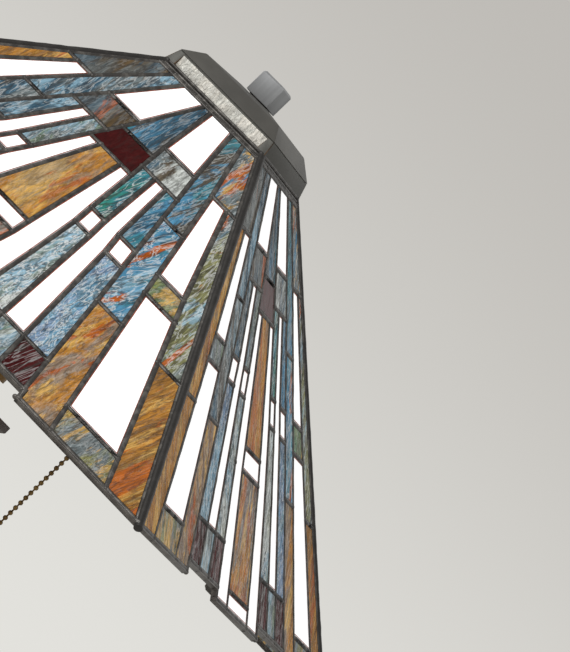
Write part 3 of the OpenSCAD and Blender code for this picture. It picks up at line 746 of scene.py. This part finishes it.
def sheet_for(colour_name, down, across, left):
    """The sheet of glass that a pane is cut from, by its colour and its place on the panel."""
    if colour_name == "white":
        return "opal_white"
    if left:
        if colour_name == "amber" and down < 0.35:
            return "smoky_dark"
        if colour_name == "green":
            return "flame_amber" if across > 0.84 else "sea_grey"
        if colour_name == "blue" and across > 0.3:
            return "blue_mist" if down < 0.5 else "azure_ripple"
    if colour_name == "amber":
        if across < MIDDLE_SHARE:
            return "honey_amber" if down < 0.65 else "amber_sky"
        if down < 0.35:
            return "smoky_kite" if across < 0.5 else "agate"
        if across < 0.68:
            return "rusty_amber"
        return "grey_amber" if across < 0.84 else "flame_amber"
    if colour_name == "blue":
        if across < MIDDLE_SHARE:
            return "steel_wedge"
        if across < 0.3:
            return "pearl_ripple"
        if across < 0.49:
            return "azure_violet" if down < 0.5 else "azure_ripple"
        return "blue_umber" if down < 0.35 else "blue_ember"
    if colour_name == "green":
        if across < 0.31:
            return "emerald_wisp"
        if across < 0.5:
            return "sea_grey"
        return "olive_green" if across < 0.84 else "lichen_streak"
    return "maroon_smooth" if down < 0.5 else "ruby_ripple"


def pane_outline(group, plan):
    """A pane's outline on its outer face, in the panel's own plane."""
    face = max(group, key=lambda f: (plan.inverse.to_3x3() @ f.normal).z * f.calc_area())
    return [(plan.inverse @ v.co).to_2d() for v in face.verts]


def grown(outline, by):
    """An outline moved outwards by a width, with mitred corners."""
    area = sum(a.x * b.y - b.x * a.y for a, b in zip(outline, outline[1:] + outline[:1]))
    if area < 0:
        outline = outline[::-1]
    out = []
    for i, point in enumerate(outline):
        before = (point - outline[i - 1]).normalized()
        after = (outline[(i + 1) % len(outline)] - point).normalized()
        first, second = Vector((before.y, -before.x)), Vector((after.y, -after.x))
        mitre = (first + second).normalized()
        out.append(point + mitre * by / max(0.4, mitre.dot(first)))
    return out


def build_glass(plan, palette, glow, sizes, foil, outlines):
    for colour_name in GLASS_COLOURS:
        node = f"{colour_name}_{plan.side}"
        bm = merged_copy(node)
        layer = bm.loops.layers.uv.new("pane")
        names = []
        for group in islands(bm):
            middles = [plan.inverse @ f.calc_center_median() for f in group]
            centre = sum(middles, Vector()) / len(group)
            outlines.append(pane_outline(group, plan))
            down = -centre.y / plan.foot
            half = plan.half_at(-centre.y)
            across = abs(centre.x) / half
            sheet = sheet_for(colour_name, down, across, centre.x < -MIDDLE_SHARE * half)
            if sheet not in names:
                names.append(sheet)
            pick = random.Random(f"{sizes.seed}{plan.side}{colour_name}{round(centre.x * 900)}"
                                 f"{round(centre.y * 900)}")
            turn = Matrix.Rotation(math.radians(pick.uniform(-9, 9)), 2)
            shift = Vector((pick.uniform(0, 5), pick.uniform(0, 5)))
            for face in group:
                face.material_index = names.index(sheet)
                for loop in face.loops:
                    point = plan.inverse @ loop.vert.co
                    flat = Vector((point.x + 0.6 * point.z, point.y + 0.6 * point.z))
                    loop[layer].uv = turn @ flat + shift
        materials = [glass_material(n, palette, glow) for n in names]
        if colour_name == "white":
            faces = [f for f in bm.faces if (plan.inverse.to_3x3() @ f.normal).z > 0.9]
            ring = bmesh.ops.inset_individual(bm, faces=faces, thickness=sizes.foil_width,
                                              depth=0, use_even_offset=True)
            for face in ring["faces"]:
                face.material_index = len(materials)
            materials.append(foil)
        add_piece(f"glass_{node}", bm, materials, node)


def tube_mesh(name, lines, radius, wobble, spacing, cyclic, sides=2):
    """Round beads laid along lines of 3-D points, with an uneven radius, as one mesh."""
    curve = bpy.data.curves.new(name, "CURVE")
    curve.dimensions = "3D"
    curve.bevel_depth = radius
    curve.bevel_resolution = sides
    curve.use_fill_caps = True
    for line in lines:
        points = []
        ends = line[1:] + line[:1] if cyclic else line[1:]
        for start, end in zip(line, ends):
            steps = max(1, round((end - start).length / spacing))
            points += [start.lerp(end, i / steps) for i in range(steps)]
        if not cyclic:
            points.append(line[-1])
        spline = curve.splines.new("POLY")
        spline.points.add(len(points) - 1)
        for spot, point in zip(spline.points, points):
            spot.co = (*point, 1)
            spot.radius = 1 + wobble * (noise.noise(point * 210) + 0.5 * noise.noise(point * 520))
        spline.use_cyclic_u = cyclic
    holder = bpy.data.objects.new(name, curve)
    bpy.context.scene.collection.objects.link(holder)
    bpy.context.view_layer.update()
    mesh = bpy.data.meshes.new_from_object(holder.evaluated_get(
        bpy.context.evaluated_depsgraph_get()))
    bm = bmesh.new()
    bm.from_mesh(mesh)
    bpy.data.objects.remove(holder)
    bpy.data.curves.remove(curve)
    bpy.data.meshes.remove(mesh)
    return bm


# From a pane's edge out to the middle of the solder line beside it
SOLDER_OFFSET = 1.7 * MM
# Least distance between two blobs where solder lines meet
BLOB_SPACING = 2.2 * MM


def build_solder(plan, sizes, metals, outlines):
    """The solder lines of one panel: a bead round every pane, with a blob where they meet."""
    radius = sizes.bead_radius
    lines, knots = [], []
    for outline in outlines:
        loop = [Vector((p.x, p.y, 0)) for p in grown(outline, SOLDER_OFFSET)]
        lines.append(loop)
        knots += loop
    bm = tube_mesh("solder", lines, radius, sizes.bead_wobble, 6 * MM, True)
    placed = []
    for knot in knots:
        if all((knot - other).length > BLOB_SPACING for other in placed):
            placed.append(knot)
            size = 1.12 + 0.16 * noise.noise(knot * 300)
            add_ball(bm, knot, radius * size, (1.15, 1.15, 0.98), u=10, v=6)
    bmesh.ops.transform(
        bm, verts=bm.verts,
        matrix=plan.matrix @ Matrix.Diagonal((1, 1, sizes.bead_height, 1)),
    )
    bmesh.ops.recalc_face_normals(bm, faces=bm.faces)
    add_piece(f"solder_lines_{plan.side}", bm, [metal_material("solder_patina", metals)],
              f"came_{plan.side}", smooth_angle=75)


# Blobs of solder at the rim's notches: shares of the half width, and heights above the foot
RIM_BLOB_SHARES = (-0.527, -0.227, 0.227, 0.527)
RIM_BLOB_LEVELS = (1.2 * MM, 8.3 * MM)


def build_rim(plan, metals):
    """The channel along the rim: a lip each side of a soldered groove, with blobs of solder."""
    node = f"rim_{plan.side}"
    bm = merged_copy(node)
    flat = [f for f in bm.faces if abs((plan.inverse.to_3x3() @ f.normal).z) > 0.9]
    bmesh.ops.inset_region(bm, faces=flat, thickness=0.75 * MM, depth=-0.4 * MM,
                           use_even_offset=True, use_boundary=True)
    for face in flat:
        face.material_index = 1
    round_edges(bm, 0.22 * MM, 2, 40)
    for share in RIM_BLOB_SHARES:
        for rise in RIM_BLOB_LEVELS:
            level = plan.foot - rise
            side = 0.8 * MM if share > 0 else -0.8 * MM
            spot = Vector((share * plan.half_at(level) + side, -level, 0.4 * MM))
            add_ball(bm, plan.matrix @ spot, 1.9 * MM, (1.1, 0.9, 0.85),
                     plan.matrix.to_3x3().to_4x4())
    skins = [metal_material(name, metals) for name in ("zinc_channel", "solder_patina")]
    add_piece(f"rim_channel_{plan.side}", bm, skins, node, smooth_angle=50)


# ---------------------------------------------------------------- operators


class LAMP_OT_glass(bpy.types.Operator):
    """Cut the panes of streaked, rippled and opal glass and solder them together"""

    bl_idname = "lamp.glass"
    bl_label = "Leaded Glass Panels"

    def execute(self, context):
        scene = context.scene
        metals, sizes = scene.lamp_metals, scene.lamp_sizes
        foil = metal_material("copper_foil", metals)
        for side, turn in PANELS:
            plan = PanelPlan(side, turn)
            outlines = []
            # The panes take the painted glow from the Glow setting
            build_glass(plan, scene.lamp_glass, scene.lamp_stage.glow, sizes, foil, outlines)
            build_solder(plan, sizes, metals, outlines)
            build_rim(plan, metals)
        return {"FINISHED"}


class LAMP_OT_corners(bpy.types.Operator):
    """Lay the heavy bead of solder down each corner of the shade"""

    bl_idname = "lamp.corners"
    bl_label = "Corner Leading"

    def execute(self, context):
        sizes, metals = context.scene.lamp_sizes, context.scene.lamp_metals
        for index in range(1, 5):
            node = f"corner_came_{index}"
            low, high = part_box(node)
            right, back = low.x + high.x > 0, low.y + high.y > 0
            inner = Vector((low.x if right else high.x, low.y if back else high.y, high.z))
            outer = Vector((high.x if right else low.x, high.y if back else low.y, low.z))
            run = (outer - inner).normalized()
            start, end = inner + run * 1.2 * MM, outer - run * 2.2 * MM
            bm = tube_mesh(node, [[start, end]], sizes.corner_radius, 0.07, 5 * MM, False, 4)
            add_ball(bm, start, sizes.corner_radius * 1.1, u=16, v=10)
            pick = random.Random(index)
            shiny = len(bm.faces)
            for step in range(7):
                drift = Vector([pick.uniform(-1.5, 1.5) * MM for _ in range(3)])
                add_ball(bm, end - run * (0.6 + step * 1.1) * MM + drift,
                         pick.uniform(1.1, 1.8) * MM, (1.1, 1.1, 0.9), u=12, v=8)
            bm.faces.ensure_lookup_table()
            for face in bm.faces[shiny:]:
                face.material_index = 1
            bmesh.ops.recalc_face_normals(bm, faces=bm.faces)
            skins = [metal_material(name, metals) for name in ("corner_solder", "bright_solder")]
            add_piece(f"corner_bead_{index}", bm, skins, node, smooth_angle=75)
        return {"FINISHED"}


# Beads of solder round the crown, in mm: past the band's side, above its foot, and radius
CROWN_BEADS = ((-0.9, 0.2, 1.15), (0.2, -2.0, 1.2), (2.4, -4.3, 1.2))
# How much wider the visible strips of the crown are than their nodes, and how far proud
STRIP_WIDEN = 1.07
STRIP_PROUD = 0.35 * MM


class LAMP_OT_crown(bpy.types.Operator):
    """Finish the crown: its band, glass strips, cap and carrier"""

    bl_idname = "lamp.crown"
    bl_label = "Crown"

    def execute(self, context):
        scene = context.scene
        metals = scene.lamp_metals
        low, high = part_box("crown_band")
        bm = rounded_copy("crown_band", 0.5 * MM, 2)
        for face in bm.faces:
            centre = face.calc_center_median()
            if abs(centre.y) > abs(centre.x) - 4 * MM and abs(centre.x) > 30 * MM:
                face.material_index = 1
        for past, rise, radius in CROWN_BEADS:
            half, level = high.x + past * MM, low.z + rise * MM
            ring = [Vector((sx * half, sy * half, level))
                    for sx, sy in ((1, -1), (1, 1), (-1, 1), (-1, -1))]
            absorb(bm, tube_mesh("ring", [ring], radius * MM, 0.12, 5 * MM, True), 2)
        skins = [metal_material(name, metals)
                 for name in ("crown_patina", "crown_post", "solder_patina")]
        add_piece("crown_frame", bm, skins, "crown_band", smooth_angle=50)
        # The ivory strips take the painted glow too
        ivory = glass_material("ivory_granite", scene.lamp_glass, scene.lamp_stage.glow)
        for side, out in (("front", -1), ("back", 1)):
            node = f"crown_glass_{side}"
            bm = rounded_copy(node, 0.4 * MM, 2)
            for vert in bm.verts:
                vert.co.x *= STRIP_WIDEN
                vert.co.y += STRIP_PROUD * out
            layer = bm.loops.layers.uv.new("pane")
            for face in bm.faces:
                for loop in face.loops:
                    loop[layer].uv = (loop.vert.co.x, loop.vert.co.z + loop.vert.co.y)
            add_piece(f"crown_strip_{side}", bm, [ivory], node)
        add_rounded("crown_roof", "crown_cap", metal_material("roof_patina", metals), 0.8, 3,
                    smooth_angle=30, angle=9)
        add_rounded("crown_carrier", "crown_spider", metal_material("carrier_steel", metals), 0.3)
        return {"FINISHED"}


class LAMP_OT_finial(bpy.types.Operator):
    """Finish the square finial and its check ring"""

    bl_idname = "lamp.finial"
    bl_label = "Finial"

    def execute(self, context):
        metals = context.scene.lamp_metals
        add_rounded("finial_block", "finial", metal_material("finial_brushed", metals), 0.25,
                    smooth_angle=30)
        add_rounded("finial_check_ring", "finial_washer", metal_material("check_ring", metals), 0.2)
        return {"FINISHED"}


class LAMP_OT_base(bpy.types.Operator):
    """Finish the felted plinth, its step and weight, and the cord's bushing"""

    bl_idname = "lamp.base"
    bl_label = "Base"

    def execute(self, context):
        metals = context.scene.lamp_metals
        bronze = metal_material("base_bronze", metals)
        add_rounded("plinth_casting", "plinth", bronze, 1.4, 3)
        add_rounded("plinth_tier", "plinth_step", bronze, 1.2, 3)
        felt = soft_material("felt_green", tint(46, 78, 56), tint(30, 52, 38), 900, 0.92, 0.4)
        pad = add_rounded("foot_felt", "felt_pad", felt, 0.5)
        add_rounded("foot_weight", "ballast", metal_material("weight_iron", metals), 0.8)
        black = soft_material("bushing_black", tint(42, 42, 42), tint(24, 24, 24), 700, 0.5)
        add_rounded("cord_inlet_bushing", "cord_bushing", black, 0.5, 3)
        return {"FINISHED"}


class LAMP_OT_column(bpy.types.Operator):
    """Finish the tapered column, its hammered panels and its cap"""

    bl_idname = "lamp.column"
    bl_label = "Column"

    def execute(self, context):
        metals = context.scene.lamp_metals
        bronze = metal_material("base_bronze", metals)
        add_rounded("column_casting", "column", bronze, 0.8, 3)
        add_rounded("column_capital", "column_cap", bronze, 1.0, 3)
        add_rounded("column_inlays", "column_panels", metal_material("hammered_panel", metals), 0.4)
        return {"FINISHED"}


class LAMP_OT_fittings(bpy.types.Operator):
    """Finish the pipe, nuts, arms, sockets and bulbs"""

    bl_idname = "lamp.fittings"
    bl_label = "Light Fittings"

    def execute(self, context):
        metals = context.scene.lamp_metals
        brass = metal_material("aged_brass", metals)
        for node, name in (("stem_tube", "stem_sleeve"), ("lamp_pipe", "threaded_pipe"),
                           ("lock_nuts", "hex_nuts"), ("shade_rest", "rest_washer"),
                           ("cluster", "arm_cluster")):
            add_rounded(name, node, brass, 0.35, smooth_angle=40)
        shell = metal_material("socket_shell", metals)
        for side in ("left", "right"):
            self.socket(side, shell)
            self.bulb(side, metals)
        return {"FINISHED"}

    def socket(self, side, shell):
        """The shell, with rolled beads round its mouth and waist."""
        node = f"socket_{side}"
        bm = rounded_copy(node, 0.3 * MM, 2)
        low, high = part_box(node)
        at = middle(f"bulb_base_{side}")
        radius = (high.y - low.y) / 2 - 0.8 * MM
        for level in (high.z - 1.5 * MM, high.z - 14 * MM, low.z + 13.5 * MM):
            ring = [Vector((at.x + radius * math.cos(a), at.y + radius * math.sin(a), level))
                    for a in (math.tau * i / 36 for i in range(36))]
            absorb(bm, tube_mesh("bead", [ring], 0.8 * MM, 0, 8 * MM, True, 1))
        add_piece(f"socket_shell_{side}", bm, [shell], node, smooth_angle=40)

    def bulb(self, side, metals):
        """A screw base with rolled threads, and a frosted bulb with a soft glow."""
        node = f"bulb_base_{side}"
        low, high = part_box(node)
        at, radius = (low + high) / 2, (high.x - low.x) / 2
        profile = [(0.0, low.z), (radius * 0.3, low.z), (radius * 0.42, low.z + 1.2 * MM),
                   (radius * 0.78, low.z + 2.6 * MM)]
        turns = 5
        for i in range(turns * 4 + 1):
            level = low.z + 4 * MM + i / (turns * 4) * (high.z - low.z - 7 * MM)
            profile.append((radius * (0.95 + 0.05 * math.cos(i * math.pi / 2)), level))
        profile += [(radius * 0.96, high.z - 1 * MM), (radius * 0.96, high.z), (0.0, high.z)]
        add_piece(f"bulb_screw_{side}", lathe(profile, (at.x, at.y)),
                  [metal_material("bulb_cap", metals)], node, smooth_angle=50)
        add_piece(f"bulb_globe_{side}", merged_copy(f"bulb_glass_{side}"), [frosted_material()],
                  f"bulb_glass_{side}", smooth_angle=60)


class LAMP_OT_chains(bpy.types.Operator):
    """String the beads of the two pull chains and hang their bells"""

    bl_idname = "lamp.chains"
    bl_label = "Pull Chains"

    def execute(self, context):
        metals = context.scene.lamp_metals
        beads = metal_material("bead_brass", metals)
        for side in ("left", "right"):
            node = f"pull_chain_{side}"
            bm = merged_copy(node)
            bmesh.ops.recalc_face_normals(bm, faces=bm.faces)
            add_piece(f"bead_chain_{side}", bm, [beads], node, smooth_angle=50)
        return {"FINISHED"}


# The camera's datum under the top of the leading, and its aim under that
DATUM_DROP = 0.40 * MM
AIM_DROP = 90 * MM
# Lights: place from the top of the lamp, size, and power as a share of the key light's
LIGHTS = (
    ("key_light", (-1.9, -2.6, 2.3), 2.4, 1.0),
    ("fill_light", (2.9, -1.6, 1.2), 2.6, 0.22),
    ("back_light", (0.4, 3.0, 2.2), 2.6, 0.10),
)


class LAMP_OT_stage(bpy.types.Operator):
    """Set the camera, the soft lights, the pale floor and the backdrop"""

    bl_idname = "lamp.stage"
    bl_label = "Stage"

    def execute(self, context):
        scene, stage = context.scene, context.scene.lamp_stage
        self.camera(scene, stage)
        self.floor()
        self.lights(scene, stage)
        self.world(scene, stage)
        scene.view_settings.view_transform = "Standard"
        return {"FINISHED"}

    def camera(self, scene, stage):
        aim = Vector((0, 0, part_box("came_front")[1].z - DATUM_DROP - AIM_DROP))
        back = Vector((math.sin(stage.azimuth) * math.cos(stage.elevation),
                       -math.cos(stage.azimuth) * math.cos(stage.elevation),
                       math.sin(stage.elevation)))
        yaw, pitch = stage.azimuth + stage.pan, stage.elevation + stage.tilt
        forward = Vector((-math.sin(yaw) * math.cos(pitch), math.cos(yaw) * math.cos(pitch),
                          -math.sin(pitch)))
        level = Vector((math.cos(yaw), math.sin(yaw), 0))
        upright = level.cross(forward)
        right = level * math.cos(stage.roll) + upright * math.sin(stage.roll)
        up = upright * math.cos(stage.roll) - level * math.sin(stage.roll)
        data = bpy.data.cameras.new("camera")
        data.lens = stage.lens
        data.sensor_width = 36
        data.sensor_fit = "AUTO"
        data.clip_start, data.clip_end = 0.05, 60
        camera = bpy.data.objects.new("camera", data)
        axes = Matrix((right, up, -forward)).transposed().to_4x4()
        camera.matrix_world = Matrix.Translation(aim + back * stage.distance) @ axes
        scene.collection.objects.link(camera)
        scene.camera = camera

    def floor(self):
        bm = bmesh.new()
        bmesh.ops.create_circle(bm, cap_ends=True, segments=96, radius=5.0)
        bmesh.ops.translate(bm, verts=bm.verts, vec=(0, 0, -0.0006))
        mesh = bpy.data.meshes.new("floor")
        bm.to_mesh(mesh)
        bm.free()
        made, shader = new_material("floor_plain")
        shader.inputs["Base Color"].default_value = (*tint(224, 223, 219), 1)
        shader.inputs["Roughness"].default_value = 0.85
        mesh.materials.append(made)
        floor = bpy.data.objects.new("floor", mesh)
        bpy.context.scene.collection.objects.link(floor)

    def lights(self, scene, stage):
        centre = Vector((0, 0, CAD_BOX[1].z - 0.15))
        for name, place, size, share in LIGHTS:
            data = bpy.data.lights.new(name, "AREA")
            data.shape, data.size, data.energy = "DISK", size, stage.key_power * share
            light = bpy.data.objects.new(name, data)
            light.location = centre + Vector(place)
            light.rotation_mode = "QUATERNION"
            light.rotation_quaternion = (centre - light.location).to_track_quat("-Z", "Y")
            scene.collection.objects.link(light)

    def world(self, scene, stage):
        """Even light from all round, seen as a backdrop that darkens gently upwards."""
        world = bpy.data.worlds.new("studio")
        world.use_nodes = True
        scene.world = world
        tree = world.node_tree
        tree.nodes.clear()
        place = add_node(tree, "ShaderNodeTexCoord").outputs["Generated"]
        height = add_node(tree, "ShaderNodeSeparateXYZ", {0: place}).outputs["Z"]
        tone = mixed(tree, smoothed(tree, height, -0.045, 0.095), (*tint(227, 226, 221), 1),
                     (*tint(190, 187, 182), 1))
        seen = add_node(tree, "ShaderNodeBackground", {"Color": tone, "Strength": 1.0})
        soft = add_node(tree, "ShaderNodeBackground", {
            "Color": (0.98, 0.975, 0.96, 1), "Strength": stage.world_strength,
        })
        ray = add_node(tree, "ShaderNodeLightPath").outputs["Is Camera Ray"]
        mix = add_node(
            tree, "ShaderNodeMixShader", {0: ray, 1: soft.outputs[0], 2: seen.outputs[0]}
        )
        add_node(tree, "ShaderNodeOutputWorld", {"Surface": mix.outputs[0]})


OPERATORS = (
    LAMP_OT_glass, LAMP_OT_corners, LAMP_OT_crown, LAMP_OT_finial, LAMP_OT_base,
    LAMP_OT_column, LAMP_OT_fittings, LAMP_OT_chains, LAMP_OT_stage,
)


class LAMP_PT_tools(bpy.types.Panel):
    """Lists the lamp's settings and the steps that make it"""

    bl_label = "Glass Lamp"
    bl_space_type = "VIEW_3D"
    bl_region_type = "UI"
    bl_category = "Glass Lamp"

    def draw(self, context):
        layout, scene = self.layout, context.scene
        for settings in (scene.lamp_glass, scene.lamp_metals, scene.lamp_sizes, scene.lamp_stage):
            box = layout.box()
            for key in settings.__annotations__:
                box.prop(settings, key)
        for operator in OPERATORS:
            layout.operator(operator.bl_idname)


CLASSES = (GlassPalette, MetalPalette, LampSizes, StageSettings, *OPERATORS, LAMP_PT_tools)


def register():
    for item in CLASSES:
        bpy.utils.register_class(item)
    bpy.types.Scene.lamp_glass = PointerProperty(type=GlassPalette)
    bpy.types.Scene.lamp_metals = PointerProperty(type=MetalPalette)
    bpy.types.Scene.lamp_sizes = PointerProperty(type=LampSizes)
    bpy.types.Scene.lamp_stage = PointerProperty(type=StageSettings)


def unregister():
    for key in ("lamp_glass", "lamp_metals", "lamp_sizes", "lamp_stage"):
        delattr(bpy.types.Scene, key)
    for item in reversed(CLASSES):
        bpy.utils.unregister_class(item)


def main():
    register()
    for operator in OPERATORS:
        group, name = operator.bl_idname.split(".")
        getattr(getattr(bpy.ops, group), name)()
    bpy.context.view_layer.update()


if __name__ == "__main__":
    main()
